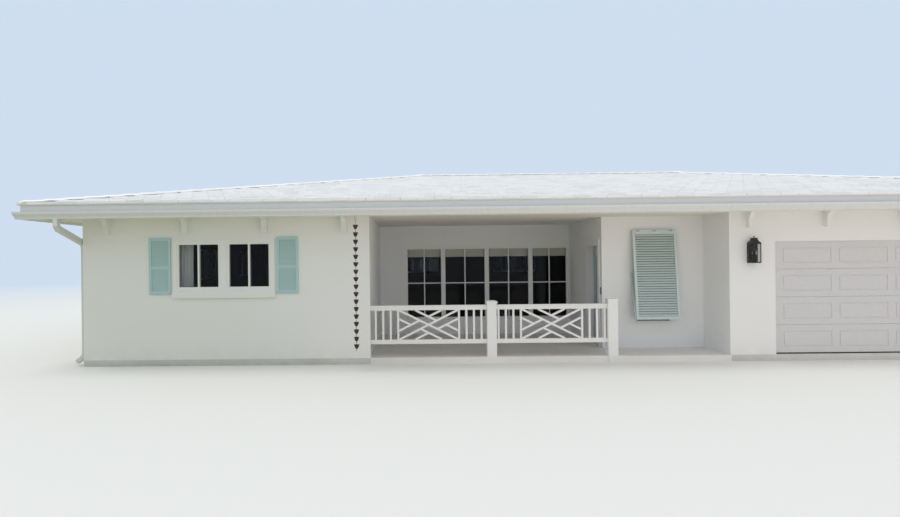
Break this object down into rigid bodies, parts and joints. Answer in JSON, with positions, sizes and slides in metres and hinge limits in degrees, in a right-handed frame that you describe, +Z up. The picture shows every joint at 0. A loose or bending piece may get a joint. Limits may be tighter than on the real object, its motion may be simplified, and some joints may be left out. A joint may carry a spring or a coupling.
{
  "type": "single-storey hip-roofed bungalow with garage",
  "caption": "Single-storey white bungalow with a low hip tile roof, a recessed porch with lattice railing, louvred shutters, gutters and an attached garage.",
  "frame": {"origin": "centre of the footprint of the gutters, on the ground", "axes": "+X along the front towards the garage, +Y from the front to the back, +Z up"},
  "size_m": [22.41, 14.77, 4.5362],
  "materials": {
    "concrete": "bare float-finished concrete",
    "porch_floor": "smooth sealed concrete",
    "stucco": "smooth stucco, white exterior paint",
    "soffit_board": "flat white paint",
    "white_trim": "white satin exterior paint on timber",
    "roof_tile": "flat concrete tile, white coating",
    "gutter_metal": "white baked enamel",
    "bronze": "dark oiled bronze",
    "window_glass": "clear glass over a dark room",
    "shutter_paint": "pale aqua satin paint",
    "door_paint": "pale blue-grey satin paint",
    "nickel": "brushed nickel",
    "garage_paint": "white baked enamel on steel",
    "door_seal": "black rubber",
    "lantern_metal": "black-bronze powder coat",
    "lantern_glass": "clear glass"
  },
  "bodies": {
    "house": {"floor_slab": "concrete", "porch_slab": "porch_floor", "left_wing_front_wall": "stucco", "porch_return_wall": "stucco", "porch_back_wall": "stucco", "door_wall": "stucco", "door_lintel": "stucco", "entry_wall": "stucco", "garage_return_wall": "stucco", "garage_front_wall": "stucco", "left_wall": "stucco", "right_wall": "stucco", "back_wall": "stucco", "soffit": "soffit_board", "house_ceiling": "soffit_board", "fascia": "white_trim", "roof_front": "roof_tile", "roof_right": "roof_tile", "roof_back": "roof_tile", "roof_left": "roof_tile", "ridge_caps": "roof_tile", "hip_caps": "roof_tile", "gutter_front": "gutter_metal", "gutter_right": "gutter_metal", "gutter_back": "gutter_metal", "gutter_left": "gutter_metal", "downspouts": "gutter_metal", "rain_chain": "bronze", "eave_brackets": "white_trim", "twin_window_frames": "white_trim", "porch_window_frame": "white_trim", "entry_window_frame": "white_trim", "window_glass": "window_glass", "louvred_shutters": "shutter_paint", "bahama_shutter": "shutter_paint", "bahama_props": "shutter_paint", "door_frame": "white_trim", "frame_hinges": "nickel", "railing_left": "white_trim", "railing_right": "white_trim", "newel_post": "white_trim", "end_pier": "stucco", "garage_door": "garage_paint", "garage_door_seal": "door_seal", "wall_lantern": "lantern_metal", "lantern_glass": "lantern_glass"},
    "door": {"front_door": "door_paint", "front_door_glass": "window_glass", "door_handle": "nickel", "leaf_hinges": "nickel"}
  },
  "joints": [
    {"name": "front_door_hinge", "type": "hinge", "parent": "house", "child": "door", "pos_m": [0.027, -4.4875, 0], "axis": [0, 0, 1], "range_deg": [0, 100]}
  ]
}
